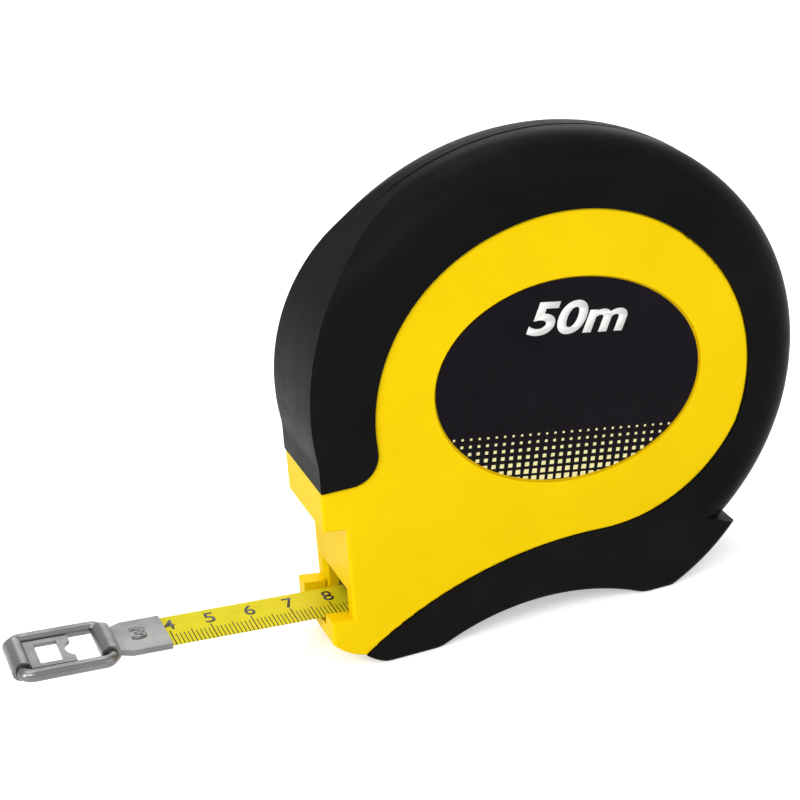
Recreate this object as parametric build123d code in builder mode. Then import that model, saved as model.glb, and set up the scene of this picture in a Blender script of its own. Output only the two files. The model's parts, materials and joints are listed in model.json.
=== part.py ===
from build123d import *
import os
from math import asin, atan2, cos, degrees, hypot, radians, sin, sqrt

# A hand-wound steel long tape in a closed case, in millimetres.
# +X points from the nose to the heel, +Y from the label side to the crank side, +Z up.
# The origin is the middle of the front foot pad, on the surface that the case stands on.
# Places on the case are given from the case centre, the middle of its round outline.

# Case
CASE_R = 67.4              # round outline, half its length
CASE_FLAT = 3.9            # how much less its half width is
CASE_TURN = -9.0           # its long axis falls towards the heel
CASE_T = 26.0              # over the two yellow side faces
RIM_ROUND = 11.0           # rounding of the grip along the rim
RIM_RUNOUT = 5.6           # how far the rounding runs out past the outline, low at the nose
GRIP_PROUD = 0.5           # grip above the yellow side face
SKIN = 1.8                 # grip and foot thickness
WALL = 1.8                 # shell wall under the skin
EDGE_ROUND = 0.8           # edge of the yellow panels
FOOT_ROUND = 1.2           # edge of the feet
FIT = 0.1                  # gap between pieces that are pressed or clamped together
RUN = 0.08                 # radial gap of a turning fit
PARTING = 0.4              # chamfer of the grip along the joint of its halves

# Yellow panel, label and drum places, from the case centre
PANEL_MARGIN = 18.3        # grip round the panel
PANEL_FLAT = 2.9           # how much less the panel's half width is
PANEL_X = 2.2
PANEL_Z = 0.7
PANEL_TURN = -18.0
PANEL_CORNER = 7.0         # inner corner where the panel runs into the nose
PANEL_SOFT = 8.0           # rounding at the two ends of its lower edge's rear part
LABEL_MARGIN = (14.7, 20.4)  # panel beside and above the label
LABEL_TURN = -9.0
LABEL_T = 0.4
LABEL_SINK = 0.8           # depth of the label recess
LABEL_EDGE = 0.6           # gap round the label
DRUM_X = 3.1
DRUM_Z = 4.1

# Nose, from the front of the round outline and from the base
BASE_CUT = 3.5             # how much of the round outline the flat base takes away
BROW_SETBACK = 6.4         # brow behind the front of the round outline
TRIM_START = 116.0         # where the outline starts to cut the rim's rounding
TRIM_INSET = (1.5, 3.8)    # cut inside the round outline, half-way to the draw-in and there
DRAW_IN = 18.0             # angle above the middle where the grip starts to draw in to the brow
FLUSH = 7.0                # end of the grip that stands flush with the brow
FLUSH_ROUND = 12.0
BROW_TOP = -10.0           # lower end of the grip
BROW_HEIGHT = 10.4
NOTCH_DEPTH = 5.5          # finger notch
NOTCH_SLOPE = 0.8          # draft of the notch's two ends
CHIN_FOOT = 8.6            # lower edge of the chin above the base
CHIN_HEIGHT = 6.4
CHIN_RUN = 8.0             # length of the curve under the chin
CHIN_DROP = 5.0
CHIN_BULGE = (0.42, 0.6)   # middle of that curve, in parts of its length and drop

# Foot
PAD_GAP = 7.0              # from the curve under the chin to the front pad
PAD_LENGTH = 12.5
TOE_BOW = 0.5              # bow of the slope in front of the pad
ARCH_LENGTH = 55.3
ARCH_RISE = 6.4
HEEL_LENGTH = 9.2
HEEL_BOW = 1.6             # bow of the heel's rear edge
HEEL_ROUND = 2.0           # rounding along that edge
FOOT_SOFT = 8.0            # rounding of the arch's ends
FOOT_PROUD = 0.05          # heel outside the round outline, at its upper end
HEEL_TOP_ANGLE = -43.8     # place of that end
SWEEP_X = 10.3             # level stretch of the panel's lower edge, from the case centre and the base
SWEEP_Z = 21.8
SWEEP_BOW = 5.6            # bow of the panel's edge towards the nose
SWEEP_END_ANGLE = -22.0    # where the panel's round edge turns into its lower edge
SWEEP_TUCK = 6.2           # bow of the panel's edge towards the heel
JOINT_X = 24.0             # joint between grip and foot, on the panel's edge
JOINT_SLOPE = -22.0

# Blade and mouth
BLADE_W = 13.0
BLADE_T = 0.3
BLADE_TILT = 4.5           # the blade rises towards the hook
BLADE_SEAT = 4.0           # blade left in the mouth guide at rest
PULLED_OUT = 43.0          # bare blade between the notch and the clip
MOUTH_DROP = 2.1           # blade below the chin's top
MOUTH_SIDE = 1.6           # mouth beside the blade
MOUTH_UP = 7.0             # mouth above and below the blade
MOUTH_DOWN = 1.2
MOUTH_FLARE = 1.2
FLARE_ANGLE = 45.0
GUIDE_LENGTH = 5.6
GUIDE_UP = 5.0
GUIDE_DOWN = 2.0
SLOT_GAP = 0.4             # guide slot round the blade
CLIP_STOP = 4.0            # gap between clip and notch when the blade is wound in

# Reel
HUB_WALL = 0.9             # hub beside the knob's pocket
DRUM_GAP = 3.5             # flange above the chamber's floor
FLANGE_LIP = 1.2           # flange outside the roll
FLANGE_T = 0.9
FLANGE_GAP = 0.4           # flange beside the roll
AXLE_R = 4.0
AXLE_IN_HUB = 7.0
BUSH_WALL = 2.0
BOSS_WALL = 2.4
PLATE_R = 27.0             # crank plate
PLATE_PROUD = 1.5          # crank plate above the yellow side face
BEARING_WALL = 1.6
BEARING_L = 3.4
REEL_SCREW_R = 1.1
REEL_SCREW_HEAD_R = 2.0
REEL_SCREW_HEAD = 0.8
REEL_SCREW_L = 5.0
FRONT_SCREW_RING_R = 11.5  # front flange screws
REAR_SCREW_INSET = 3.5     # crank plate screws inside the hub
REEL_SCREW_COUNT = 3

# Crank
ARM_W = 9.0
ARM_T = 3.2
ARM_SIDE = 0.5             # groove beside and below the arm
ARM_REACH = 35.0           # hinge to knob
HINGE_INSET = 5.5          # hinge inside the crank plate's rim
HINGE_LIFT = 1.1           # hinge above the yellow side face
KNUCKLE_R = 2.4
HINGE_PIN_R = 1.2
LUG_W = 3.4
KNOB_R = 4.8
KNOB_L = 9.0
KNOB_ROUND = 2.0
SPINDLE_R = 1.8
SPINDLE_HEAD_R = 3.0
SPINDLE_HEAD = 1.0
POCKET_GAP = 1.8           # pocket round the folded knob

# Hook
CLIP_L = 12.0
CLIP_T = 1.5
CLIP_SIDE = 0.35           # clip beside the blade
CLIP_GRIP = 9.0            # blade inside the clip
CLIP_NECK = 2.4
CURL_WALL = 0.8
WIRE_R = 1.5
RING_L = 20.9              # between the ring's two bars, on the wire's middle line
RING_HALF_OUT = 8.4        # half width at the claw and at the clip
RING_HALF_IN = 8.2
RING_BEND = 2.2
CURL_SIDE = 0.25           # curl beside the bend of the ring
CLAW_L = 12.9
CLAW_T = 1.0
CLAW_ARM = 1.5             # sides of the claw's window
CLAW_WINDOW = (4.6, 9.9)   # window from the bar's middle line
CLAW_BITE_R = 4.0          # round bite in the claw's free end
CLAW_BITE = 1.8            # depth of the bite

# Case screws: three near the rim, one behind the notch and one over the front pad
RIM_SCREW_ANGLES = (160.5, -41.5, -64.5)
RIM_SCREW_INSET = 9.4
NOSE_SCREW_INSET = 6.3
NOSE_SCREW_LIFT = 4.0      # above the middle of the notch
PAD_SCREW_RUN = 4.5
PAD_SCREW_LIFT = 6.5
CASE_SCREW_R = 1.4
CASE_SCREW_HEAD_R = 2.6
CASE_SCREW_HEAD = 1.8
CASE_SCREW_SINK = 1.2      # head below the surface that it enters
CASE_SCREW_BITE = 6.0      # thread in the front half
CASE_SCREW_RIM = 1.6       # wall of the screw bosses
CROSS_L = 3.4              # cross recess of the case screws
CROSS_W = 0.9
CROSS_D = 0.9

# Worked out from the sizes above
HALF = CASE_T / 2
INSIDE = HALF - SKIN - WALL
CASE_H = CASE_R - CASE_FLAT
OVAL_SHIFT = CASE_FLAT / (2 - sqrt(2))
BASE_Z = -(CASE_H - BASE_CUT)
PANEL_R = CASE_R - PANEL_MARGIN
PANEL_SHIFT = PANEL_FLAT / (2 - sqrt(2))
PANEL_SIDE_R = PANEL_R - PANEL_SHIFT
LABEL_A = PANEL_R - LABEL_MARGIN[0]
LABEL_B = PANEL_R - PANEL_FLAT - LABEL_MARGIN[1]
SWEEP_LOW = (SWEEP_X, BASE_Z + SWEEP_Z)
BROW_X = -(CASE_R - BROW_SETBACK)
BROW_LOW = BROW_TOP - BROW_HEIGHT
WALL_X = BROW_X + NOTCH_DEPTH
CHIN_LOW = BASE_Z + CHIN_FOOT
CHIN_TOP = CHIN_LOW + CHIN_HEIGHT
CHIN_END = (BROW_X + CHIN_RUN, CHIN_LOW - CHIN_DROP)
PAD_START = CHIN_END[0] + PAD_GAP
PAD_END = PAD_START + PAD_LENGTH
HEEL_START = PAD_END + ARCH_LENGTH
CASE_X = -(PAD_START + PAD_END) / 2
CASE_Z = -BASE_Z
FAR = 3 * CASE_R
MOUTH_Z = CHIN_TOP - MOUTH_DROP
TRAVEL = PULLED_OUT - CLIP_STOP
BLADE_IN = BLADE_SEAT + WALL
TILT = radians(BLADE_TILT)
ROLL_HALF = BLADE_W / 2
FLANGE_R = DRUM_Z - BASE_Z - ARCH_RISE - SKIN - WALL - DRUM_GAP
ROLL_R = FLANGE_R - FLANGE_LIP
FLANGE_IN = ROLL_HALF + FLANGE_GAP
FLANGE_OUT = FLANGE_IN + FLANGE_T
PLATE_TOP = HALF + PLATE_PROUD
HINGE_R = PLATE_R - HINGE_INSET
HINGE_Y = HALF + HINGE_LIFT
ARM_LOW = HINGE_Y - ARM_T
GROOVE_FLOOR = ARM_LOW - ARM_SIDE
KNOB_X = HINGE_R - ARM_REACH
KNOB_POCKET_R = KNOB_R + POCKET_GAP
HUB_R = KNOB_POCKET_R - KNOB_X + HUB_WALL
KNOB_END = ARM_LOW - KNOB_L
CURL_X = PULLED_OUT + CLIP_L + CLIP_NECK
RING_X = CURL_X + RING_L
CURL_R = WIRE_R + RUN + CURL_WALL

CASE_SCREWS = [
    ((CASE_R - RIM_SCREW_INSET) * cos(radians(a)), (CASE_H - RIM_SCREW_INSET) * sin(radians(a)))
    for a in RIM_SCREW_ANGLES
]
CASE_SCREWS.append((WALL_X + NOSE_SCREW_INSET, (BROW_LOW + CHIN_TOP) / 2 + NOSE_SCREW_LIFT))
CASE_SCREWS.append((PAD_START + PAD_SCREW_RUN, BASE_Z + PAD_SCREW_LIFT))

MID = Plane(origin=(CASE_X, 0, CASE_Z), x_dir=(1, 0, 0), z_dir=(0, -1, 0))
DRUM = Plane(origin=(CASE_X + DRUM_X, 0, CASE_Z + DRUM_Z), x_dir=(1, 0, 0), z_dir=(0, 1, 0))
TAPE = Plane(
    origin=(CASE_X + WALL_X, 0, CASE_Z + MOUTH_Z),
    x_dir=(-cos(TILT), 0, sin(TILT)),
    z_dir=(sin(TILT), 0, cos(TILT)),
)


def front_plane(y):
    """Sketch plane of the case's side view, at a distance in front of the middle."""
    return MID.offset(y)


def oval(reach, shift, turn, runout=0.0):
    """Round outline of a given half length, turned: four arcs, the two at the nose moved out by the runout."""
    side = reach - shift
    top = side + shift * sqrt(2)
    out = runout / sqrt(2)
    with BuildSketch() as region:
        with BuildLine():
            right = CenterArc((shift, 0), side, -45, 90)
            upper = CenterArc((0, -shift), top, 45, 90)
            left = CenterArc((-shift - out, -out), side, 135, 90)
            lower = CenterArc((-out, shift - out), top, 225, 90)
            if runout:
                Line(upper @ 1, left @ 0)
                Line(lower @ 1, right @ 0)
        make_face()
    return region.sketch.rotate(Axis.Z, turn)


def turned(x, y):
    """A point of the round outline's own axes, in the case's axes."""
    point = Vector(x, y).rotate(Axis.Z, CASE_TURN)
    return (point.X, point.Y)


def nose_region(top):
    """Side view of the nose, open to the drum chamber on its right."""
    with BuildSketch() as region:
        with BuildLine():
            Polyline(
                (0, top),
                (BROW_X, top),
                (BROW_X, BROW_LOW),
                (WALL_X, BROW_LOW - NOTCH_SLOPE),
                (WALL_X, CHIN_TOP - NOTCH_SLOPE),
                (BROW_X, CHIN_TOP),
                (BROW_X, CHIN_LOW),
            )
            under = (BROW_X + CHIN_BULGE[0] * CHIN_RUN, CHIN_LOW - CHIN_BULGE[1] * CHIN_DROP)
            ThreePointArc((BROW_X, CHIN_LOW), under, CHIN_END)
            Polyline(CHIN_END, (0, CHIN_END[1]), (0, top))
        make_face()
    return region.sketch


def outside_nose():
    """The air in front of the nose, from the end of the grip down."""
    with BuildSketch() as region:
        with BuildLine():
            Polyline(
                (-FAR, BROW_TOP),
                (BROW_X, BROW_TOP),
                (BROW_X, BROW_LOW),
                (WALL_X, BROW_LOW - NOTCH_SLOPE),
                (WALL_X, CHIN_TOP - NOTCH_SLOPE),
                (BROW_X, CHIN_TOP),
                (BROW_X, CHIN_LOW),
                (-FAR, CHIN_LOW),
                close=True,
            )
        make_face()
    return region.sketch


def on_side(angle, inset):
    """Point inside the round outline's arc at the nose, at an angle about that arc's middle."""
    turn = radians(angle - CASE_TURN)
    side = CASE_R - OVAL_SHIFT - inset
    return turned(side * cos(turn) - OVAL_SHIFT, side * sin(turn))


def ahead_of_grip(depth=0.0):
    """The air in front of the grip, which draws in to the brow, and a depth of the grip with it."""
    top = CASE_R - OVAL_SHIFT + OVAL_SHIFT * sqrt(2) - depth
    turn = radians(TRIM_START - CASE_TURN)
    start = turned(top * cos(turn), top * sin(turn) - OVAL_SHIFT)
    beyond = (2 * start[0], 2 * start[1])
    middle = on_side((TRIM_START + 180 - DRAW_IN) / 2, TRIM_INSET[0] + depth)
    brow = (BROW_X + depth, BROW_TOP - depth)
    end = (brow[0], BROW_TOP + FLUSH)
    with BuildSketch() as region:
        with BuildLine():
            trim = ThreePointArc(start, middle, on_side(180 - DRAW_IN, TRIM_INSET[1] + depth))
            TangentArc(trim @ 1, end, tangent=trim % 1)
            Polyline(end, brow, (-FAR, brow[1]), (-FAR, FAR), beyond, start)
        make_face()
        fillet(region.vertices().sort_by_distance(end)[0], FLUSH_ROUND)
    return region.sketch


def bowed(start, end, bow):
    """Middle point of an arc that bows to the left of the way from start to end."""
    run = (end[0] - start[0], end[1] - start[1])
    length = hypot(*run)
    return (
        (start[0] + end[0]) / 2 - bow * run[1] / length,
        (start[1] + end[1]) / 2 + bow * run[0] / length,
    )


def ground():
    """Everything below the base: the table and the arch between pad and heel."""
    with BuildSketch() as region:
        with BuildLine():
            arch = (PAD_END, BASE_Z)
            heel_foot = (HEEL_START, BASE_Z)
            ThreePointArc(arch, bowed(arch, heel_foot, ARCH_RISE), heel_foot)
            Polyline(
                heel_foot,
                (FAR, BASE_Z),
                (FAR, -FAR),
                (-FAR, -FAR),
                (-FAR, BASE_Z),
                arch,
            )
        make_face()
    return region.sketch


ON_OVAL = radians(SWEEP_END_ANGLE - PANEL_TURN)
FROM_PANEL = Vector(PANEL_SHIFT + PANEL_SIDE_R * cos(ON_OVAL), PANEL_SIDE_R * sin(ON_OVAL))
FROM_PANEL = FROM_PANEL.rotate(Axis.Z, PANEL_TURN)
SWEEP_END = (PANEL_X + FROM_PANEL.X, PANEL_Z + FROM_PANEL.Y)


def below_panel():
    """Everything below the yellow panel's lower edge."""
    with BuildSketch() as region:
        with BuildLine():
            ThreePointArc(CHIN_END, bowed(CHIN_END, SWEEP_LOW, SWEEP_BOW), SWEEP_LOW)
            ThreePointArc(SWEEP_LOW, bowed(SWEEP_LOW, SWEEP_END, -SWEEP_TUCK), SWEEP_END)
            Polyline(
                SWEEP_END,
                (FAR, SWEEP_END[1]),
                (FAR, -FAR),
                (CHIN_END[0], -FAR),
                CHIN_END,
            )
        make_face()
        fillet(region.vertices().sort_by_distance(SWEEP_LOW)[0], PANEL_SOFT)
    return region.sketch


def above_joint():
    """Everything above the joint between grip and foot, to the right of its start."""
    start = (JOINT_X, SWEEP_LOW[1] + SKIN)
    drop = FAR * sin(radians(JOINT_SLOPE))
    with BuildSketch() as region:
        with BuildLine():
            Polyline(
                start,
                (JOINT_X + FAR * cos(radians(JOINT_SLOPE)), start[1] + drop),
                (JOINT_X + FAR * cos(radians(JOINT_SLOPE)), 0),
                (JOINT_X, 0),
                close=True,
            )
        make_face()
    return region.sketch


def front_pad():
    """Side view of the foot's front end, up to the pad."""
    with BuildSketch() as region:
        with BuildLine():
            toe = (PAD_START, BASE_Z)
            ThreePointArc(CHIN_END, bowed(CHIN_END, toe, -TOE_BOW), toe)
            Polyline(toe, (0, BASE_Z), (0, CHIN_TOP), (CHIN_END[0], CHIN_TOP), CHIN_END)
        make_face()
    return region.sketch


def heel():
    """Side view of the heel behind the arch."""
    low = (HEEL_START + HEEL_LENGTH, BASE_Z)
    turn = radians(HEEL_TOP_ANGLE - CASE_TURN)
    side = CASE_R + FOOT_PROUD - OVAL_SHIFT
    top = turned(OVAL_SHIFT + side * cos(turn), side * sin(turn))
    with BuildSketch() as region:
        with BuildLine():
            ThreePointArc(low, bowed(low, top, -HEEL_BOW), top)
            Polyline(top, (0, top[1]), (0, BASE_Z), low)
        make_face()
    return region.sketch


def panel_outline():
    with BuildSketch(MID) as panel:
        with Locations((PANEL_X, PANEL_Z)):
            add(oval(PANEL_R, PANEL_SHIFT, PANEL_TURN))
        add(nose_region(BROW_TOP))
        corner = (PANEL_X - PANEL_SIDE_R, BROW_TOP)
        fillet(panel.vertices().sort_by_distance(corner)[0], PANEL_CORNER)
        add(below_panel(), mode=Mode.SUBTRACT)
        fillet(panel.vertices().sort_by_distance(SWEEP_END)[0], PANEL_SOFT)
    return panel.sketch


def foot_outline():
    with BuildSketch(MID) as foot:
        add(oval(CASE_R + FOOT_PROUD, OVAL_SHIFT, CASE_TURN))
        add(front_pad())
        add(heel())
        add(below_panel(), mode=Mode.INTERSECT)
        add(above_joint(), mode=Mode.SUBTRACT)
        add(ground(), mode=Mode.SUBTRACT)
        corners = ((HEEL_START, BASE_Z), (PAD_END, BASE_Z))
        for corner in corners:
            fillet(foot.vertices().sort_by_distance(corner)[0], FOOT_SOFT)
    return foot.sketch


def nose_core(depth):
    """Side view of the nose and the front pad, at a depth under the outside."""
    with BuildSketch() as nose:
        add(nose_region(0))
        add(front_pad())
        add(ground(), mode=Mode.SUBTRACT)
        offset(amount=-depth, kind=Kind.INTERSECTION)
    return nose.sketch


def core_outline(wall=0.0):
    """Side view of the shell under the grip and the foot, or of the chamber a wall inside it."""
    with BuildSketch() as below:
        add(ground())
        offset(amount=SKIN + wall, kind=Kind.INTERSECTION)
    with BuildSketch() as ahead:
        add(outside_nose())
        if wall:
            offset(amount=wall, kind=Kind.INTERSECTION)
    with BuildSketch() as core:
        add(oval(CASE_R - SKIN - wall, OVAL_SHIFT, CASE_TURN, RIM_RUNOUT))
        add(ahead_of_grip(SKIN + wall), mode=Mode.SUBTRACT)
        add(ahead.sketch, mode=Mode.SUBTRACT)
        add(nose_core(SKIN + wall))
        add(below.sketch, mode=Mode.SUBTRACT)
    return core.sketch


def placed(region):
    """A side-view region on the case's middle plane."""
    with BuildSketch(MID) as sketch:
        add(region)
    return sketch.sketch


def half_disc(inset):
    """Front half of the round case, with its rounded rim, under a skin of the given depth."""
    with BuildPart() as disc:
        with BuildSketch(MID):
            add(oval(CASE_R - inset, OVAL_SHIFT, CASE_TURN, RIM_RUNOUT))
        extrude(amount=HALF + GRIP_PROUD - inset)
        fillet(disc.faces().sort_by(Axis.Y)[0].edges(), RIM_ROUND - inset)
    return disc.part


def half_core(wall=0.0):
    """Front half of the shell under the skin, still solid, or of the chamber a wall inside it."""
    with BuildPart() as core:
        add(half_disc(SKIN + wall))
        extrude(placed(nose_core(SKIN + wall)), amount=HALF - SKIN - wall)
        extrude(placed(core_outline(wall)), amount=HALF - SKIN - wall, mode=Mode.INTERSECT)
    return core.part


def half_shell():
    """What the two shells share: panel, core, drum chamber, mouth and screw bosses."""
    with BuildPart() as shell:
        extrude(panel_outline(), amount=HALF)
        fillet(shell.faces().sort_by(Axis.Y)[0].outer_wire().edges(), EDGE_ROUND)
        add(half_core())
        add(half_core(WALL), mode=Mode.SUBTRACT)
        with BuildSketch(MID):
            with Locations(*CASE_SCREWS):
                Circle(CASE_SCREW_R + CASE_SCREW_RIM)
        extrude(amount=INSIDE)
        with BuildSketch(TAPE):
            with Locations((-(BLADE_IN + TRAVEL) / 2, 0)):
                Rectangle(BLADE_IN + TRAVEL + 2 * MOUTH_DOWN, BLADE_W + 2 * SLOT_GAP)
        extrude(amount=2 * BLADE_T, both=True, mode=Mode.SUBTRACT)
        with BuildSketch(Plane.YZ.offset(CASE_X + BROW_X)):
            with Locations((0, CASE_Z + MOUTH_Z - MOUTH_DOWN)):
                Rectangle(MOUTH_W, MOUTH_UP + MOUTH_DOWN, align=(Align.CENTER, Align.MIN))
        extrude(amount=NOTCH_DEPTH + SKIN + 2 * WALL, mode=Mode.SUBTRACT)
        with BuildSketch(Plane.YZ.offset(CASE_X + WALL_X)):
            with Locations((0, CASE_Z + MOUTH_Z - MOUTH_DOWN)):
                Rectangle(
                    MOUTH_W + 2 * MOUTH_FLARE,
                    MOUTH_UP + MOUTH_DOWN + MOUTH_FLARE,
                    align=(Align.CENTER, Align.MIN),
                )
        extrude(amount=MOUTH_FLARE, taper=FLARE_ANGLE, mode=Mode.SUBTRACT)
    return shell.part


def half_grip():
    """Front half of the grip: the rim's skin between the nose and the foot."""
    with BuildPart() as grip:
        add(half_disc(0))
        chamfer(grip.faces().sort_by(Axis.Y)[-1].edges(), PARTING)
        with BuildSketch(MID):
            add(below_panel())
            add(above_joint(), mode=Mode.SUBTRACT)
            add(outside_nose())
            add(ahead_of_grip())
        extrude(amount=FAR, mode=Mode.SUBTRACT)
        extrude(panel_outline(), amount=FAR, mode=Mode.SUBTRACT)
        add(half_core(), mode=Mode.SUBTRACT)
    return grip.part


def half_foot():
    """Front half of the foot: front pad, arch and heel."""
    with BuildPart() as foot:
        extrude(foot_outline(), amount=HALF)
        rim = foot.faces().sort_by(Axis.Y)[0].outer_wire().edges()
        fillet(rim.sort_by(Axis.X)[-1], HEEL_ROUND)
        rim = foot.faces().sort_by(Axis.Y)[0].outer_wire().edges()
        lower = rim.filter_by_position(Axis.Z, -FOOT_ROUND, CASE_Z + CHIN_LOW)
        fillet(lower.sort_by(Axis.X)[1:], FOOT_ROUND)
        add(half_core(), mode=Mode.SUBTRACT)
    return foot.part


def screw_holes(radius, start, end):
    """Cylinders at the case screws, between two distances behind the middle."""
    with BuildPart() as holes:
        with BuildSketch(MID.offset(-start)):
            with Locations(*CASE_SCREWS):
                Circle(radius)
        extrude(amount=start - end)
    return holes.part


MOUTH_W = BLADE_W + 2 * MOUTH_SIDE
HEAD_TOP = HALF - CASE_SCREW_SINK
HEAD_LOW = HEAD_TOP - CASE_SCREW_HEAD

# Front half of the case

with BuildPart() as front_shell:
    add(half_shell())
    with BuildSketch(front_plane(HALF)):
        with Locations((DRUM_X, DRUM_Z)):
            Ellipse(LABEL_A + LABEL_EDGE, LABEL_B + LABEL_EDGE, rotation=LABEL_TURN)
    extrude(amount=-LABEL_SINK, mode=Mode.SUBTRACT)
    with BuildSketch(DRUM.offset(-INSIDE)):
        Circle(AXLE_R + BOSS_WALL)
    extrude(amount=INSIDE - FLANGE_OUT - FLANGE_GAP)
    with BuildSketch(DRUM.offset(-INSIDE - WALL / 2)):
        Circle(AXLE_R + FIT / 2)
    extrude(amount=INSIDE, mode=Mode.SUBTRACT)
    add(screw_holes(CASE_SCREW_R + FIT / 2, -CASE_SCREW_BITE - FIT, 0), mode=Mode.SUBTRACT)
front_shell.part.label = "front_shell"

with BuildPart() as front_grip:
    add(half_grip())
front_grip.part.label = "front_grip"

with BuildPart() as front_foot:
    add(half_foot())
front_foot.part.label = "front_foot"

with BuildPart() as front_label:
    with BuildSketch(front_plane(HALF - LABEL_SINK)):
        with Locations((DRUM_X, DRUM_Z)):
            Ellipse(LABEL_A, LABEL_B, rotation=LABEL_TURN)
    extrude(amount=LABEL_T)
front_label.part.label = "front_label"

# Rear half of the case

with BuildPart() as rear_shell:
    add(mirror(half_shell(), about=Plane.XZ, mode=Mode.PRIVATE))
    with BuildSketch(DRUM):
        Circle(PLATE_R + RUN + BEARING_WALL + FIT)
    extrude(amount=FAR, mode=Mode.SUBTRACT)
    add(screw_holes(CASE_SCREW_R + FIT / 2, 0, HEAD_LOW), mode=Mode.SUBTRACT)
    add(screw_holes(CASE_SCREW_HEAD_R + FIT, HEAD_LOW, FAR), mode=Mode.SUBTRACT)
rear_shell.part.label = "rear_shell"

with BuildPart() as rear_grip:
    add(mirror(half_grip(), about=Plane.XZ, mode=Mode.PRIVATE))
    add(screw_holes(CASE_SCREW_HEAD_R + FIT, 0, FAR), mode=Mode.SUBTRACT)
rear_grip.part.label = "rear_grip"

with BuildPart() as rear_foot:
    add(mirror(half_foot(), about=Plane.XZ, mode=Mode.PRIVATE))
    add(screw_holes(CASE_SCREW_HEAD_R + FIT, 0, FAR), mode=Mode.SUBTRACT)
rear_foot.part.label = "rear_foot"

with BuildPart() as case_screws:
    add(screw_holes(CASE_SCREW_R, -CASE_SCREW_BITE, HEAD_LOW))
    add(screw_holes(CASE_SCREW_HEAD_R, HEAD_LOW, HEAD_TOP))
    with BuildSketch(MID.offset(-HEAD_TOP)):
        with Locations(*CASE_SCREWS):
            Rectangle(CROSS_L, CROSS_W)
            Rectangle(CROSS_W, CROSS_L)
    extrude(amount=CROSS_D, mode=Mode.SUBTRACT)
case_screws.part.label = "case_screws"

# Mouth and tape


def tape_height(x):
    """Height of the blade's line at a place along the case."""
    return MOUTH_Z - (x - WALL_X) * sin(TILT) / cos(TILT)


GUIDE_X = WALL_X + SKIN + WALL + FIT
GUIDE_END = GUIDE_X + GUIDE_LENGTH

with BuildPart() as mouth_guide:
    with BuildSketch(MID):
        with BuildLine():
            Polyline(
                (GUIDE_X, tape_height(GUIDE_X) - GUIDE_DOWN),
                (GUIDE_END, tape_height(GUIDE_END) - GUIDE_DOWN),
                (GUIDE_END, tape_height(GUIDE_X) + GUIDE_UP),
                (GUIDE_X, tape_height(GUIDE_X) + GUIDE_UP),
                close=True,
            )
        make_face()
    extrude(amount=INSIDE - FIT, both=True)
    with BuildSketch(TAPE):
        Rectangle(FAR, BLADE_W + 2 * SLOT_GAP)
    extrude(amount=BLADE_T / 2 + SLOT_GAP, both=True, mode=Mode.SUBTRACT)
mouth_guide.part.label = "mouth_guide"

# The lead runs from the guide to where it touches the roll, a little above the blade's own line.
LEAD_START = (GUIDE_END + SLOT_GAP, tape_height(GUIDE_END) + BLADE_T + SLOT_GAP)
LEAD_R = ROLL_R + FIT + BLADE_T / 2
TO_DRUM = (DRUM_X - LEAD_START[0], DRUM_Z - LEAD_START[1])
LEAD_ANGLE = atan2(TO_DRUM[1], TO_DRUM[0]) - asin(LEAD_R / hypot(*TO_DRUM))
LEAD_LENGTH = sqrt(hypot(*TO_DRUM) ** 2 - LEAD_R**2)

with BuildPart() as tape_lead:
    with BuildSketch(MID):
        with Locations(Location((*LEAD_START, 0), (0, 0, degrees(LEAD_ANGLE)))):
            Rectangle(LEAD_LENGTH, BLADE_T, align=(Align.MIN, Align.CENTER))
    extrude(amount=ROLL_HALF, both=True)
tape_lead.part.label = "tape_lead"

with BuildPart() as tape_roll:
    with BuildSketch(DRUM):
        Circle(ROLL_R)
        Circle(HUB_R + FIT, mode=Mode.SUBTRACT)
    extrude(amount=ROLL_HALF, both=True)
tape_roll.part.label = "tape_roll"

BLADE_END = PULLED_OUT + CLIP_GRIP

with BuildPart() as tape_blade:
    with BuildSketch(TAPE):
        with Locations((-BLADE_IN, 0)):
            Rectangle(BLADE_IN + BLADE_END, BLADE_W, align=(Align.MIN, Align.CENTER))
    extrude(amount=BLADE_T / 2, both=True)
tape_blade.part.label = "tape_blade"

# Reel

POCKET_FLOOR = KNOB_END - POCKET_GAP
BUSH_R = AXLE_R + BUSH_WALL
REAR_SCREW_RING_R = HUB_R - REAR_SCREW_INSET
REAR_SCREW_SPAN = (REAR_SCREW_RING_R, REAR_SCREW_RING_R * sqrt(3))
PLATE_SCREW_TOP = GROOVE_FLOOR + ARM_T


def plate_screws(radius, start, end):
    """Cylinders at the crank plate's screws, between two distances behind the middle."""
    with BuildPart() as holes:
        with BuildSketch(DRUM.offset(start)):
            with GridLocations(*REAR_SCREW_SPAN, 2, 2):
                Circle(radius)
        extrude(amount=end - start)
    return holes.part


def front_screws(radius, start, end):
    """Cylinders at the front flange's screws, between two distances in front of the middle."""
    with BuildPart() as holes:
        with BuildSketch(DRUM.offset(-start)):
            with PolarLocations(FRONT_SCREW_RING_R, REEL_SCREW_COUNT):
                Circle(radius)
        extrude(amount=start - end)
    return holes.part


PLATE_SCREW_END = FLANGE_IN - REEL_SCREW_L
FRONT_SCREW_END = FLANGE_OUT - REEL_SCREW_L

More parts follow.
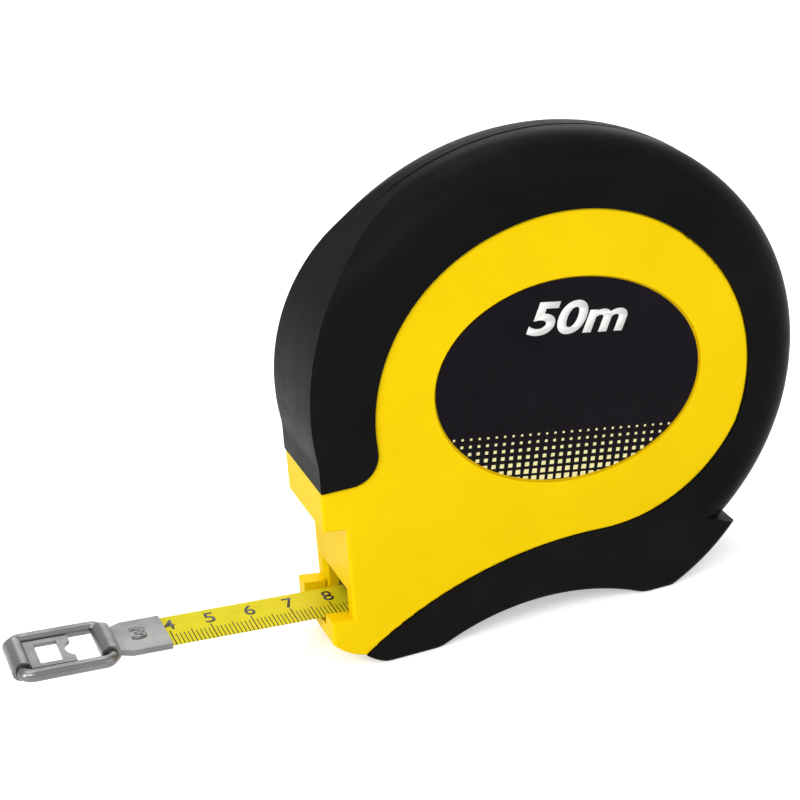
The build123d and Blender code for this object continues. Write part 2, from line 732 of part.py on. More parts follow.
with BuildPart() as reel_hub:
    with BuildSketch(DRUM):
        Circle(HUB_R)
    extrude(amount=FLANGE_IN, both=True)
    with BuildSketch(DRUM.offset(-FLANGE_IN)):
        Circle(BUSH_R + FIT / 2)
    extrude(amount=AXLE_IN_HUB, mode=Mode.SUBTRACT)
    with BuildSketch(DRUM.offset(POCKET_FLOOR)):
        with Locations((KNOB_X, 0)):
            Circle(KNOB_POCKET_R)
    extrude(amount=FAR, mode=Mode.SUBTRACT)
    add(plate_screws(REEL_SCREW_R + FIT / 2, PLATE_SCREW_END - FIT, FLANGE_IN), mode=Mode.SUBTRACT)
    add(front_screws(REEL_SCREW_R + FIT / 2, FLANGE_IN, FRONT_SCREW_END - FIT), mode=Mode.SUBTRACT)
reel_hub.part.label = "reel_hub"

with BuildPart() as front_flange:
    with BuildSketch(DRUM.offset(-FLANGE_OUT)):
        Circle(FLANGE_R)
        Circle(AXLE_R + RUN + FIT, mode=Mode.SUBTRACT)
        with PolarLocations(FRONT_SCREW_RING_R, REEL_SCREW_COUNT):
            Circle(REEL_SCREW_R + FIT / 2, mode=Mode.SUBTRACT)
    extrude(amount=FLANGE_T)
front_flange.part.label = "front_flange"

with BuildPart() as rear_flange:
    with BuildSketch(DRUM.offset(FLANGE_IN)):
        Circle(FLANGE_R)
        with Locations((KNOB_X, 0)):
            Circle(KNOB_POCKET_R, mode=Mode.SUBTRACT)
        with GridLocations(*REAR_SCREW_SPAN, 2, 2):
            Circle(REEL_SCREW_R + FIT / 2, mode=Mode.SUBTRACT)
    extrude(amount=FLANGE_T)
rear_flange.part.label = "rear_flange"

with BuildPart() as flange_screws:
    add(front_screws(REEL_SCREW_R, FLANGE_OUT, FRONT_SCREW_END))
    add(front_screws(REEL_SCREW_HEAD_R, FLANGE_OUT + REEL_SCREW_HEAD, FLANGE_OUT))
flange_screws.part.label = "flange_screws"

with BuildPart() as hub_bush:
    with BuildSketch(DRUM.offset(-FLANGE_IN)):
        Circle(BUSH_R)
        Circle(AXLE_R + RUN, mode=Mode.SUBTRACT)
    extrude(amount=AXLE_IN_HUB - FIT)
hub_bush.part.label = "hub_bush"

with BuildPart() as reel_axle:
    with BuildSketch(DRUM.offset(-INSIDE - WALL / 2)):
        Circle(AXLE_R)
    extrude(amount=INSIDE + WALL / 2 - FLANGE_IN + AXLE_IN_HUB - 2 * FLANGE_GAP)
reel_axle.part.label = "reel_axle"

with BuildPart() as rear_bearing_ring:
    with BuildSketch(DRUM.offset(HALF)):
        Circle(PLATE_R + RUN + BEARING_WALL)
        Circle(PLATE_R + RUN, mode=Mode.SUBTRACT)
    extrude(amount=-BEARING_L)
rear_bearing_ring.part.label = "rear_bearing_ring"

# Crank

GROOVE_W = ARM_W + 2 * ARM_SIDE
LUG_END = GROOVE_W / 2 + LUG_W
HINGE_AT = DRUM.offset(HINGE_Y).origin + Vector(HINGE_R, 0, 0)
HINGE = Plane(origin=HINGE_AT, x_dir=(1, 0, 0), z_dir=(0, 0, 1))

with BuildPart() as crank_plate:
    with BuildSketch(DRUM.offset(FLANGE_OUT)):
        Circle(PLATE_R)
    extrude(amount=PLATE_TOP - FLANGE_OUT)
    chamfer(crank_plate.edges().sort_by(Axis.Y)[-1], PLATE_PROUD / 3)
    with BuildSketch(HINGE):
        Circle(KNUCKLE_R)
        with Locations((0, -KNUCKLE_R)):
            Rectangle(2 * KNUCKLE_R, 2 * KNUCKLE_R)
    extrude(amount=LUG_END, both=True)
    with BuildSketch(DRUM.offset(GROOVE_FLOOR)):
        with Locations((KNOB_X, 0)):
            Circle(GROOVE_W / 2)
            Rectangle(FAR, GROOVE_W, align=(Align.MIN, Align.CENTER))
    extrude(amount=FAR, mode=Mode.SUBTRACT)
    with BuildSketch(DRUM):
        with Locations((KNOB_X, 0)):
            Circle(KNOB_POCKET_R)
    extrude(amount=FAR, mode=Mode.SUBTRACT)
    with BuildSketch(HINGE):
        Circle(HINGE_PIN_R + FIT / 2)
    extrude(amount=LUG_END, both=True, mode=Mode.SUBTRACT)
    add(plate_screws(REEL_SCREW_R + FIT / 2, 0, FAR), mode=Mode.SUBTRACT)
    add(plate_screws(REEL_SCREW_HEAD_R + FIT, PLATE_SCREW_TOP - REEL_SCREW_HEAD, FAR), mode=Mode.SUBTRACT)
crank_plate.part.label = "crank_plate"

with BuildPart() as crank_plate_screws:
    add(plate_screws(REEL_SCREW_R, PLATE_SCREW_END, PLATE_SCREW_TOP - REEL_SCREW_HEAD))
    add(plate_screws(REEL_SCREW_HEAD_R, PLATE_SCREW_TOP - REEL_SCREW_HEAD, PLATE_SCREW_TOP))
crank_plate_screws.part.label = "crank_plate_screws"

with BuildPart() as crank_hinge_pin:
    with BuildSketch(HINGE):
        Circle(HINGE_PIN_R)
    extrude(amount=LUG_END, both=True)
crank_hinge_pin.part.label = "crank_hinge_pin"

with BuildPart() as crank_arm:
    with BuildSketch(DRUM.offset(ARM_LOW)):
        with Locations((KNOB_X, 0)):
            Circle(ARM_W / 2)
            Rectangle(ARM_REACH, ARM_W, align=(Align.MIN, Align.CENTER))
    extrude(amount=ARM_T)
    with BuildSketch(HINGE):
        Circle(KNUCKLE_R)
    extrude(amount=ARM_W / 2, both=True)
    with BuildSketch(HINGE):
        Circle(HINGE_PIN_R + RUN)
    extrude(amount=ARM_W, both=True, mode=Mode.SUBTRACT)
    with BuildSketch(DRUM):
        with Locations((KNOB_X, 0)):
            Circle(SPINDLE_R + FIT / 2)
    extrude(amount=FAR, mode=Mode.SUBTRACT)
crank_arm.part.label = "crank_arm"

KNOB_TOP = ARM_LOW - FIT

with BuildPart() as crank_knob:
    with BuildSketch(DRUM.offset(KNOB_END)):
        with Locations((KNOB_X, 0)):
            Circle(KNOB_R)
    extrude(amount=KNOB_TOP - KNOB_END)
    fillet(crank_knob.edges().sort_by(Axis.Y)[0], KNOB_ROUND)
    with BuildSketch(DRUM.offset(KNOB_END)):
        with Locations((KNOB_X, 0)):
            Circle(SPINDLE_R + RUN)
    extrude(amount=KNOB_L, mode=Mode.SUBTRACT)
    with BuildSketch(DRUM.offset(KNOB_END)):
        with Locations((KNOB_X, 0)):
            Circle(SPINDLE_HEAD_R + FIT)
    extrude(amount=2 * SPINDLE_HEAD, mode=Mode.SUBTRACT)
crank_knob.part.label = "crank_knob"

with BuildPart() as knob_spindle:
    with BuildSketch(DRUM.offset(HINGE_Y)):
        with Locations((KNOB_X, 0)):
            Circle(SPINDLE_R)
    extrude(amount=KNOB_END + 2 * SPINDLE_HEAD - FIT - HINGE_Y)
    with BuildSketch(DRUM.offset(KNOB_END + SPINDLE_HEAD)):
        with Locations((KNOB_X, 0)):
            Circle(SPINDLE_HEAD_R)
    extrude(amount=SPINDLE_HEAD - FIT)
knob_spindle.part.label = "knob_spindle"

# Hook

CLIP_HALF = BLADE_W / 2 + CLIP_SIDE
CLIP_CURL_HALF = RING_HALF_IN - RING_BEND - CURL_SIDE
CLAW_HALF = RING_HALF_OUT - RING_BEND - CURL_SIDE
CURL = Plane(origin=TAPE.from_local_coords((CURL_X, 0, 0)), x_dir=TAPE.x_dir, z_dir=TAPE.y_dir)
BAR = Plane(origin=TAPE.from_local_coords((RING_X, 0, 0)), x_dir=TAPE.x_dir, z_dir=TAPE.y_dir)

with BuildPart() as end_clip:
    with BuildSketch(TAPE):
        with BuildLine():
            neck = PULLED_OUT + CLIP_L
            half = Polyline(
                (PULLED_OUT, 0),
                (PULLED_OUT, CLIP_HALF),
                (neck - CLIP_NECK, CLIP_HALF),
                (neck, CLIP_CURL_HALF),
                (CURL_X, CLIP_CURL_HALF),
                (CURL_X, 0),
            )
            mirror(half, about=Plane.XZ)
        make_face()
    extrude(amount=CLIP_T / 2, both=True)
    with BuildSketch(CURL):
        Circle(CURL_R)
    extrude(amount=CLIP_CURL_HALF, both=True)
    with BuildSketch(CURL):
        Circle(WIRE_R + RUN)
    extrude(amount=FAR, both=True, mode=Mode.SUBTRACT)
    with BuildSketch(TAPE):
        with Locations((PULLED_OUT, 0)):
            Rectangle(CLIP_GRIP + FIT, BLADE_W + FIT, align=(Align.MIN, Align.CENTER))
    extrude(amount=BLADE_T / 2 + FIT / 2, both=True, mode=Mode.SUBTRACT)
end_clip.part.label = "end_clip"

with BuildPart() as end_ring:
    with BuildLine(TAPE) as loop:
        FilletPolyline(
            (CURL_X, -RING_HALF_IN),
            (CURL_X, RING_HALF_IN),
            (RING_X, RING_HALF_OUT),
            (RING_X, -RING_HALF_OUT),
            radius=RING_BEND,
            close=True,
        )
    with BuildSketch(Plane(origin=loop.line @ 0, z_dir=loop.line % 0)):
        Circle(WIRE_R)
    sweep(path=loop.line)
end_ring.part.label = "end_ring"

with BuildPart() as folding_claw:
    with BuildSketch(TAPE):
        with Locations((RING_X, 0)):
            Rectangle(CLAW_L, 2 * CLAW_HALF, align=(Align.MAX, Align.CENTER))
        with Locations((RING_X - CLAW_WINDOW[0], 0)):
            Rectangle(
                CLAW_WINDOW[1] - CLAW_WINDOW[0],
                2 * (CLAW_HALF - CLAW_ARM),
                align=(Align.MAX, Align.CENTER),
                mode=Mode.SUBTRACT,
            )
        with Locations((RING_X - CLAW_L + CLAW_BITE - CLAW_BITE_R, 0)):
            Circle(CLAW_BITE_R, mode=Mode.SUBTRACT)
    extrude(amount=CLAW_T / 2, both=True)
    with BuildSketch(BAR):
        Circle(CURL_R)
    extrude(amount=CLAW_HALF, both=True)
    with BuildSketch(BAR):
        Circle(WIRE_R + RUN)
    extrude(amount=FAR, both=True, mode=Mode.SUBTRACT)
folding_claw.part.label = "folding_claw"

PIECES = (
    front_shell,
    front_grip,
    front_foot,
    front_label,
    rear_shell,
    rear_grip,
    rear_foot,
    case_screws,
    mouth_guide,
    tape_lead,
    tape_roll,
    tape_blade,
    reel_hub,
    front_flange,
    rear_flange,
    flange_screws,
    hub_bush,
    reel_axle,
    rear_bearing_ring,
    crank_plate,
    crank_plate_screws,
    crank_hinge_pin,
    crank_arm,
    crank_knob,
    knob_spindle,
    end_clip,
    end_ring,
    folding_claw,
)

os.makedirs("parts", exist_ok=True)
for piece in PIECES:
    export_step(piece.part, f"parts/{piece.part.label}.step")
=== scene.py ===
import json
from math import cos, radians, sin

import bmesh
import bpy
from mathutils import Matrix, Vector


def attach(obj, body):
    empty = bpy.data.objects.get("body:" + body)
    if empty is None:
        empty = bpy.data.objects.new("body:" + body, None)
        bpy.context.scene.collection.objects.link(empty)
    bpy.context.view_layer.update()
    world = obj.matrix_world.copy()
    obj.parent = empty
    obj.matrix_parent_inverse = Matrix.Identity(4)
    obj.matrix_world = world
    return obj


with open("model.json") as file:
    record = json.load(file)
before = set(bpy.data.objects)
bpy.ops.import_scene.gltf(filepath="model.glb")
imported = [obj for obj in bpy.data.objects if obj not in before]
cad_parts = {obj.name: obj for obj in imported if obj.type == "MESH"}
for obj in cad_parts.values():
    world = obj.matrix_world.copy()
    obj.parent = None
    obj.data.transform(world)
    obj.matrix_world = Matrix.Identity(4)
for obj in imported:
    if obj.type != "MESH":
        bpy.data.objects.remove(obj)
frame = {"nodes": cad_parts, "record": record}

for start_name in ("Cube", "Light", "Camera"):
    start_object = bpy.data.objects.get(start_name)
    if start_object:
        bpy.data.objects.remove(start_object)
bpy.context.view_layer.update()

NODES = frame["nodes"]
MM = 0.001

# Places from the model, in millimetres
CASE_CENTRE = Vector((39.75, 0, 60))
LABEL_CENTRE = Vector((42.85, 0, 64.1))
LABEL_FACE = -12.6         # front of the label plate
LABEL_TURN = radians(-9)
MOUTH = Vector((-15.75, 0, 12.9))
TILT = radians(4.5)        # the blade rises towards the hook
BLADE_W = 13.0
BLADE_TOP = 0.15           # blade's upper face above its middle
CLIP_TOP = 0.75            # clip's upper face above the same
CLIP_OUT = 49.5            # middle of the clip's plate from the mouth
SCALE_ZERO = 82.0          # zero of the scale from the mouth

OUTWARD = Vector((-cos(TILT), 0, sin(TILT)))
INWARD = -OUTWARD
BLADE_UP = Vector((sin(TILT), 0, cos(TILT)))
ACROSS = Vector((0, 1, 0))

# Print, in millimetres
TICKS = ((1.0, 0.24, 4.7), (5.0, 0.27, 5.5), (10.0, 0.30, 6.3))  # pitch, width and length of the lines
TICK_BLUR = 0.04           # half the soft edge of a line
FIGURES = range(4, 9)      # centimetres that show between clip and mouth
FIGURE_SIZE = (2.6, 4.6)
FIGURE_ACROSS = 2.6        # middle of a figure from the blade's middle
FIGURE_LEAD = 0.5          # a figure stands a little towards the mouth from its line
STAMP_SIZE = (3.8, 5.4)
STAMP_ACROSS = 0.5
LENGTH_SIZE = (26.0, 8.4)
LENGTH_RISE = 16.0         # the length's middle above the label's
PRINT_LIFT = 0.02
CELL = (1.1, 0.96)         # half the pitch of the squares, along and up
SQUARE_HALF = (0.70, 0.27)  # half a square, in the lowest and in the highest row
SQUARE_RISE = (-25.5, -13.0)
SQUARE_HEIGHT = 0.95       # of a square's width
SQUARES_END = -12.4        # no squares above this

# Shading
CONTRAST = (0.3, 0.7)      # the part of a noise's range that its values mostly fill
NOISE_ROUGHNESS = 0.55
MOTTLE = 45.0              # noise scale of soft mottling
GLOSS_MOTTLE = 160.0       # and of uneven gloss
BRUSHING = 700.0           # noise scale of brushed lines
BRUSH_SHARE = 0.25         # how far these lines dull the metal
STAIN = 120.0
STAIN_SHARE = 0.7
STAIN_RANGE = (0.35, 0.7)
DULL = 0.62                # dull metal against bright
INK = (0.022, 0.020, 0.016)


class Shader:
    """A material with a Principled shader, and short calls for the nodes that feed it."""

    def __init__(self, name):
        self.material = bpy.data.materials.new(name)
        self.material.use_nodes = True
        self.tree = self.material.node_tree
        self.surface = self.tree.nodes["Principled BSDF"]
        self.coords = self.tree.nodes.new("ShaderNodeTexCoord").outputs["Object"]

    def node(self, kind, **settings):
        made = self.tree.nodes.new(kind)
        for key, value in settings.items():
            setattr(made, key, value)
        return made

    def feed(self, socket, value):
        if isinstance(value, bpy.types.NodeSocket):
            self.tree.links.new(value, socket)
        else:
            socket.default_value = value

    def set(self, **values):
        for key, value in values.items():
            self.feed(self.surface.inputs[key.replace("_", " ")], value)
        return self

    def math(self, operation, first, second=0.0, clamp=False):
        made = self.node("ShaderNodeMath", operation=operation, use_clamp=clamp)
        self.feed(made.inputs[0], first)
        self.feed(made.inputs[1], second)
        return made.outputs[0]

    def noise(self, scale, detail=3.0, stretch=None):
        made = self.node("ShaderNodeTexNoise")
        coords = self.coords
        if stretch:
            mapping = self.node("ShaderNodeMapping")
            self.feed(mapping.inputs["Vector"], coords)
            mapping.inputs["Scale"].default_value = stretch
            coords = mapping.outputs[0]
        self.feed(made.inputs["Vector"], coords)
        made.inputs["Scale"].default_value = scale
        made.inputs["Detail"].default_value = detail
        made.inputs["Roughness"].default_value = NOISE_ROUGHNESS
        return made.outputs["Fac"]

    def between(self, value, low, high, start=0.0, end=1.0):
        made = self.node("ShaderNodeMapRange")
        self.feed(made.inputs["Value"], value)
        made.inputs["From Min"].default_value = start
        made.inputs["From Max"].default_value = end
        made.inputs["To Min"].default_value = low
        made.inputs["To Max"].default_value = high
        return made.outputs[0]

    def uneven(self, noise, low=0.0, high=1.0):
        """A noise spread over the whole way from low to high."""
        return self.between(noise, low, high, *CONTRAST)

    def mix(self, factor, first, second):
        made = self.node("ShaderNodeMix", data_type="RGBA")
        self.feed(made.inputs["Factor"], factor)
        for socket, value in ((made.inputs[6], first), (made.inputs[7], second)):
            self.feed(socket, (*value, 1.0) if isinstance(value, tuple) else value)
        return made.outputs[2]

    def bump(self, height, depth):
        made = self.node("ShaderNodeBump")
        self.feed(made.inputs["Height"], height)
        made.inputs["Distance"].default_value = depth
        made.inputs["Strength"].default_value = 1.0
        return made.outputs[0]

    def along(self, direction, origin):
        """Distance in millimetres along a direction from a point given in millimetres."""
        moved = self.node("ShaderNodeVectorMath", operation="SUBTRACT")
        self.feed(moved.inputs[0], self.coords)
        moved.inputs[1].default_value = origin * MM
        dot = self.node("ShaderNodeVectorMath", operation="DOT_PRODUCT")
        self.feed(dot.inputs[0], moved.outputs[0])
        dot.inputs[1].default_value = direction / MM
        return dot.outputs["Value"]


def grey(level):
    return (level, level, level)


def moulded(name, tones, roughness, grain, depth):
    """Moulded plastic or rubber: fine spark texture, soft mottling, uneven gloss."""
    shader = Shader(name)
    shader.set(Base_Color=shader.mix(shader.uneven(shader.noise(MOTTLE)), *tones))
    shader.set(Roughness=shader.uneven(shader.noise(GLOSS_MOTTLE, 4.0), *roughness))
    return shader.set(Normal=shader.bump(shader.noise(grain, 2.0), depth))


def steel(name, base, roughness, brush):
    """Bright or worn metal, brushed along the direction with the smallest stretch."""
    shader = Shader(name)
    lines = shader.noise(BRUSHING, 3.0, brush)
    stain = shader.noise(STAIN, 5.0)
    tone = shader.math("MULTIPLY_ADD", lines, BRUSH_SHARE)
    shader.feed(tone.node.inputs[2], shader.between(stain, 0.0, STAIN_SHARE, *STAIN_RANGE))
    dull = tuple(DULL * part for part in base)
    shader.set(Base_Color=shader.mix(tone, base, dull), Metallic=1.0)
    shader.set(Roughness=shader.uneven(stain, *roughness))
    return shader.set(Normal=shader.bump(lines, 0.00002))


yellow_tones = ((0.84, 0.575, 0.001), (0.88, 0.615, 0.002))
reel_tones = ((0.035, 0.035, 0.038), (0.05, 0.05, 0.054))
crank_tones = ((0.008, 0.008, 0.009), (0.014, 0.014, 0.015))
yellow = moulded("case_yellow", yellow_tones, (0.36, 0.46), 2600.0, 0.00002)
yellow.set(Specular_IOR_Level=0.03)
rubber = moulded("grip_rubber", (grey(0.005), grey(0.008)), (0.34, 0.42), 3400.0, 0.00003)
rubber.set(Specular_IOR_Level=0.02)
foot_black = moulded("foot_black", (grey(0.002), grey(0.005)), (0.38, 0.5), 3000.0, 0.00004)
foot_black.set(Specular_IOR_Level=0.05)
reel_plastic = moulded("reel_plastic", reel_tones, (0.4, 0.5), 2400.0, 0.00003)
crank_black = moulded("crank_black", crank_tones, (0.36, 0.48), 2600.0, 0.00004)
hook_steel = steel("hook_steel", (0.20, 0.20, 0.196), (0.24, 0.40), (1.0, 8.0, 8.0))
pin_steel = steel("pin_steel", (0.46, 0.46, 0.47), (0.22, 0.36), (6.0, 1.0, 6.0))
arm_steel = steel("crank_steel", (0.50, 0.50, 0.51), (0.2, 0.34), (1.0, 8.0, 8.0))
bush_brass = steel("bush_brass", (0.62, 0.44, 0.18), (0.25, 0.4), (6.0, 1.0, 6.0))


def tape_paint(name):
    """Yellow enamel on the steel tape, faintly uneven, and its colour."""
    shader = Shader(name)
    tone = shader.uneven(shader.noise(220.0, 4.0))
    enamel = shader.mix(tone, (0.62, 0.53, 0.008), (0.68, 0.59, 0.014))
    shader.set(Specular_IOR_Level=0.03)
    shader.set(Roughness=shader.uneven(shader.noise(400.0), 0.3, 0.44))
    shader.set(Normal=shader.bump(shader.noise(900.0, 2.0), 0.00001))
    return shader, enamel


def tick_marks(shader):
    """One where the blade carries a millimetre, half-centimetre or centimetre line."""
    reading = shader.math("SUBTRACT", SCALE_ZERO, shader.along(OUTWARD, MOUTH))
    from_edge = shader.along(ACROSS, Vector((0, -BLADE_W / 2, 0)))
    marks = None
    for pitch, width, length in TICKS:
        off = shader.math("PINGPONG", reading, pitch / 2)
        across = shader.between(off, 1.0, 0.0, width / 2 - TICK_BLUR, width / 2 + TICK_BLUR)
        inside = shader.math("LESS_THAN", from_edge, length)
        line = shader.math("MULTIPLY", across, inside)
        marks = line if marks is None else shader.math("MAXIMUM", marks, line)
    return marks


blade, blade_enamel = tape_paint("tape_yellow_marked")
blade.set(Base_Color=blade.mix(tick_marks(blade), blade_enamel, INK))
roll, roll_enamel = tape_paint("tape_yellow")
winding = roll.between(roll.noise(60.0, 2.0), 0.0, 0.35)
roll.set(Base_Color=roll.mix(winding, roll_enamel, (0.35, 0.33, 0.3)))

# Directions of the label's print on the front face
PRINT_ALONG = Vector((cos(LABEL_TURN), 0, sin(LABEL_TURN)))
PRINT_UP = Vector((-sin(LABEL_TURN), 0, cos(LABEL_TURN)))


def label_print():
    """Black gloss film with a grid of squares that grow towards the lower edge."""
    shader = Shader("label_black")
    cell_along = shader.math("PINGPONG", shader.along(PRINT_ALONG, LABEL_CENTRE), CELL[0])
    rise = shader.along(PRINT_UP, LABEL_CENTRE)
    cell_up = shader.math("PINGPONG", rise, CELL[1])
    size = shader.between(rise, *SQUARE_HALF, *SQUARE_RISE)
    wide = shader.math("LESS_THAN", cell_along, size)
    high = shader.math("LESS_THAN", cell_up, shader.math("MULTIPLY", size, SQUARE_HEIGHT))
    below = shader.math("LESS_THAN", rise, SQUARES_END)
    squares = shader.math("MULTIPLY", shader.math("MULTIPLY", wide, high), below)
    tone = shader.uneven(shader.noise(70.0))
    film = shader.mix(tone, (0.005, 0.004, 0.006), (0.008, 0.006, 0.009))
    shader.set(Base_Color=shader.mix(squares, film, (0.80, 0.74, 0.36)))
    shader.set(Roughness=shader.uneven(shader.noise(300.0), 0.26, 0.36))
    shader.set(Normal=shader.bump(shader.noise(500.0, 2.0), 0.00001))
    return shader.set(Specular_IOR_Level=0.04)


SLOT_SHADER = {
    "case_yellow": yellow,
    "grip_rubber": rubber,
    "foot_black": foot_black,
    "label_black": label_print(),
    "tape_yellow": roll,
    "hook_steel": hook_steel,
    "pin_steel": pin_steel,
    "reel_plastic": reel_plastic,
    "bush_brass": bush_brass,
    "crank_black": crank_black,
    "crank_steel": arm_steel,
}


def paint(obj, shader):
    obj.data.materials.clear()
    obj.data.materials.append(shader.material)


for subpart in frame["record"]["subparts"]:
    paint(NODES[subpart["node"]], SLOT_SHADER[subpart["material_slot"]])
paint(NODES["tape_blade"], blade)


# Print

def ink(name, tones, roughness):
    shader = Shader(name)
    shader.set(Base_Color=shader.mix(shader.noise(900.0), *tones))
    return shader.set(Roughness=shader.between(shader.noise(300.0), *roughness))


def written(name, words, size, shader, slant, weight, thickness):
    """Lettering as a thin mesh round its own origin, of a given width and height in millimetres."""
    curve = bpy.data.curves.new(name, "FONT")
    curve.body = words
    curve.shear = slant
    curve.offset = weight
    holder = bpy.data.objects.new(name + "_curve", curve)
    bpy.context.scene.collection.objects.link(holder)
    bpy.context.view_layer.update()
    flat = holder.evaluated_get(bpy.context.evaluated_depsgraph_get())
    mesh = bpy.data.meshes.new_from_object(flat)
    bpy.data.objects.remove(holder)
    corners = [[pick(v.co[axis] for v in mesh.vertices) for axis in (0, 1)] for pick in (min, max)]
    low, high = (Vector((*corner, 0)) for corner in corners)
    spread = high - low
    stretch = Matrix.Diagonal((size[0] * MM / spread.x, size[1] * MM / spread.y, 1, 1))
    mesh.transform(stretch @ Matrix.Translation(-(low + high) / 2))
    shape = bmesh.new()
    shape.from_mesh(mesh)
    bmesh.ops.remove_doubles(shape, verts=shape.verts, dist=1e-6)
    raised = bmesh.ops.extrude_face_region(shape, geom=list(shape.faces))["geom"]
    tops = [part for part in raised if isinstance(part, bmesh.types.BMVert)]
    bmesh.ops.translate(shape, verts=tops, vec=(0, 0, thickness * MM))
    bmesh.ops.recalc_face_normals(shape, faces=list(shape.faces))
    shape.to_mesh(mesh)
    shape.free()
    obj = bpy.data.objects.new(name, mesh)
    bpy.context.scene.collection.objects.link(obj)
    paint(obj, shader)
    return obj


def placed(obj, origin, along, up, body):
    """Puts flat work at a place in millimetres, its own X along and Y up, to ride on a body."""
    turn = Matrix((along, up, along.cross(up))).transposed().to_4x4()
    obj.matrix_world = Matrix.Translation(origin * MM) @ turn
    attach(obj, body)


def on_blade(out, lift, across):
    """A place over the blade, by its distance from the mouth, the blade's middle and its middle line."""
    return MOUTH + OUTWARD * out + BLADE_UP * lift + ACROSS * across


white_ink = ink("white_ink", ((0.86, 0.85, 0.84), (0.80, 0.79, 0.79)), (0.3, 0.42))
black_ink = ink("black_ink", (INK, (0.035, 0.032, 0.026)), (0.34, 0.5))

length_mark = written("label_length", "50m", LENGTH_SIZE, white_ink, 0.2, 0.03, 0.03)
length_place = LABEL_CENTRE + PRINT_UP * LENGTH_RISE
length_place.y = LABEL_FACE - PRINT_LIFT
placed(length_mark, length_place, PRINT_ALONG, PRINT_UP, "case")

for figure in FIGURES:
    mark_name = f"blade_figure_{figure}"
    mark = written(mark_name, str(figure), FIGURE_SIZE, black_ink, 0.0, 0.012, 0.01)
    figure_out = SCALE_ZERO - 10 * figure - FIGURE_LEAD
    place = on_blade(figure_out, BLADE_TOP + PRINT_LIFT, FIGURE_ACROSS)
    placed(mark, place, INWARD, ACROSS, "blade")

stamp = written("clip_figure_3", "3", STAMP_SIZE, hook_steel, 0.0, 0.03, 0.14)
placed(stamp, on_blade(CLIP_OUT, CLIP_TOP, STAMP_ACROSS), INWARD, ACROSS, "blade")


# Studio, in metres and watts

LAMPS = {
    "key": ((-0.45, -0.75, 0.95), (0.7, 0.5), 6.0),
    "fill": ((0.8, -0.9, 0.5), (0.9, 0.7), 2.8),
    "top": ((-0.1, 0.25, 1.0), (0.8, 0.35), 3.6),
    "left": ((-0.92, -0.35, 0.45), (0.1, 0.7), 4.5),
    "behind": ((0.5, 1.0, 0.6), (0.9, 0.7), 3.5),
}
WORLD_LIGHT = 0.35         # the world's light on the object
WORLD_SHOWN = 1.0          # the world where it is seen or mirrored
FLOOR_REACH = 4.0
FLOOR_LIFT = 0.45          # raises the floor to white where it is seen or mirrored


def area_light(name, place, size, power):
    """A rectangular lamp that faces the middle of the case."""
    lamp = bpy.data.lights.new(name, "AREA")
    lamp.shape = "RECTANGLE"
    lamp.size, lamp.size_y = size
    lamp.energy = power
    obj = bpy.data.objects.new(name, lamp)
    obj.location = place
    facing = CASE_CENTRE * MM - Vector(place)
    obj.rotation_euler = facing.to_track_quat("-Z", "Y").to_euler()
    bpy.context.scene.collection.objects.link(obj)


for lamp_name, (lamp_place, lamp_size, lamp_power) in LAMPS.items():
    area_light(lamp_name, lamp_place, lamp_size, lamp_power)

world = bpy.data.worlds.new("studio")
bpy.context.scene.world = world
world.use_nodes = True
world_nodes = world.node_tree.nodes
world_links = world.node_tree.links
world_nodes.clear()
seen = world_nodes.new("ShaderNodeLightPath")
shown = world_nodes.new("ShaderNodeMath")
shown.operation = "ADD"
world_links.new(seen.outputs["Is Camera Ray"], shown.inputs[0])
world_links.new(seen.outputs["Is Glossy Ray"], shown.inputs[1])
seen_through = world_nodes.new("ShaderNodeMath")
seen_through.operation = "ADD"
world_links.new(shown.outputs[0], seen_through.inputs[0])
world_links.new(seen.outputs["Is Transmission Ray"], seen_through.inputs[1])
strength = world_nodes.new("ShaderNodeMapRange")
strength.inputs["To Min"].default_value = WORLD_LIGHT
strength.inputs["To Max"].default_value = WORLD_SHOWN
world_links.new(seen_through.outputs[0], strength.inputs["Value"])
sky = world_nodes.new("ShaderNodeBackground")
sky.inputs["Color"].default_value = (1.0, 1.0, 1.0, 1.0)
world_links.new(strength.outputs[0], sky.inputs["Strength"])
world_out = world_nodes.new("ShaderNodeOutputWorld")
world_links.new(sky.outputs[0], world_out.inputs["Surface"])

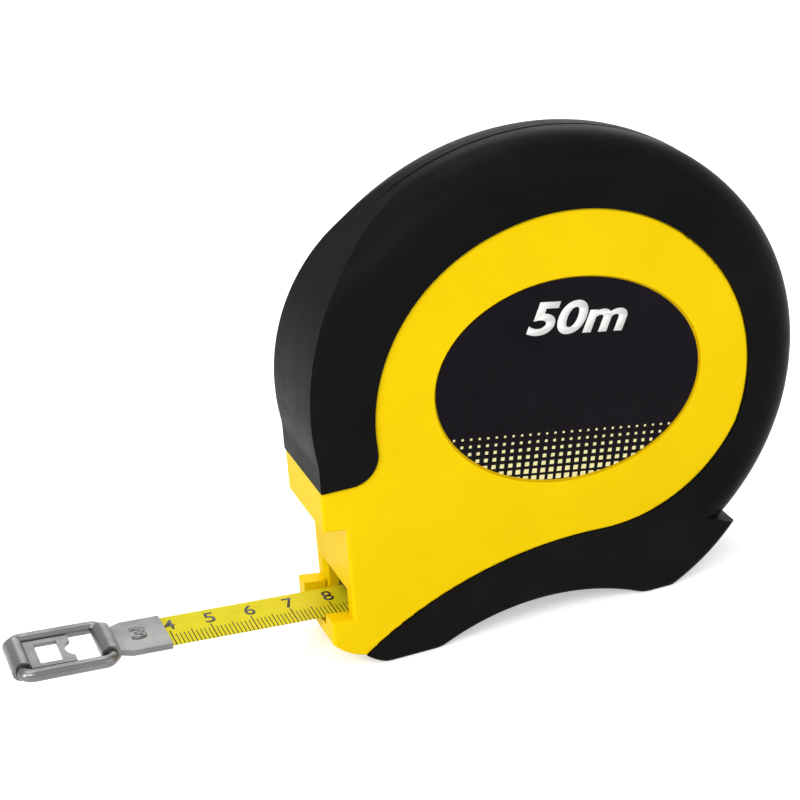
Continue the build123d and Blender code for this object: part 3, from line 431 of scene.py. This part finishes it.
floor_mesh = bpy.data.meshes.new("floor")
floor_corners = [(x * FLOOR_REACH, y * FLOOR_REACH, 0) for x, y in ((-1, -1), (1, -1), (1, 1), (-1, 1))]
floor_mesh.from_pydata(floor_corners, [], [(0, 1, 2, 3)])
floor = bpy.data.objects.new("floor", floor_mesh)
bpy.context.scene.collection.objects.link(floor)
floor_shader = Shader("floor_pale")
path = floor_shader.node("ShaderNodeLightPath").outputs
seen_straight = floor_shader.math("ADD", path["Is Camera Ray"], path["Is Glossy Ray"])
seen_at_all = floor_shader.math("ADD", seen_straight, path["Is Transmission Ray"], clamp=True)
floor_shader.set(
    Base_Color=floor_shader.mix(floor_shader.noise(12.0), grey(0.93), grey(0.95)),
    Roughness=0.9,
    Specular_IOR_Level=0.0,
    Emission_Color=(1.0, 1.0, 1.0, 1.0),
    Emission_Strength=floor_shader.math("MULTIPLY", seen_at_all, FLOOR_LIFT),
)
paint(floor, floor_shader)

# Camera, at the photograph's angle; lengths in millimetres

AZIMUTH = radians(19.61)
ELEVATION = radians(25.67)
CAMERA_ROLL = radians(-4.07)
FOCAL_PIXELS = 2000.0
FRAME_PIXELS = 800.0
SENSOR = 36.0
CLIP_START = 0.01          # metres
DISTANCE = 484.3
SHIFT_RIGHT = 31.94
SHIFT_UP = 5.22
LOOKED_AT = Vector((38.55, 0, 60.28))

back = Vector((-sin(AZIMUTH) * cos(ELEVATION), -cos(AZIMUTH) * cos(ELEVATION), sin(ELEVATION)))
level = Vector((cos(AZIMUTH), -sin(AZIMUTH), 0))
upright = back.cross(level)
right = level * cos(CAMERA_ROLL) + upright * sin(CAMERA_ROLL)
above = upright * cos(CAMERA_ROLL) - level * sin(CAMERA_ROLL)
lens = bpy.data.cameras.new("camera")
lens.sensor_width = SENSOR
lens.lens = FOCAL_PIXELS / FRAME_PIXELS * SENSOR
lens.clip_start = CLIP_START
camera = bpy.data.objects.new("camera", lens)
eye = LOOKED_AT - right * SHIFT_RIGHT - above * SHIFT_UP + back * DISTANCE
camera.matrix_world = Matrix.Translation(eye * MM) @ Matrix((right, above, back)).transposed().to_4x4()
bpy.context.scene.collection.objects.link(camera)
bpy.context.scene.camera = camera

bpy.context.scene.view_settings.view_transform = "Standard"
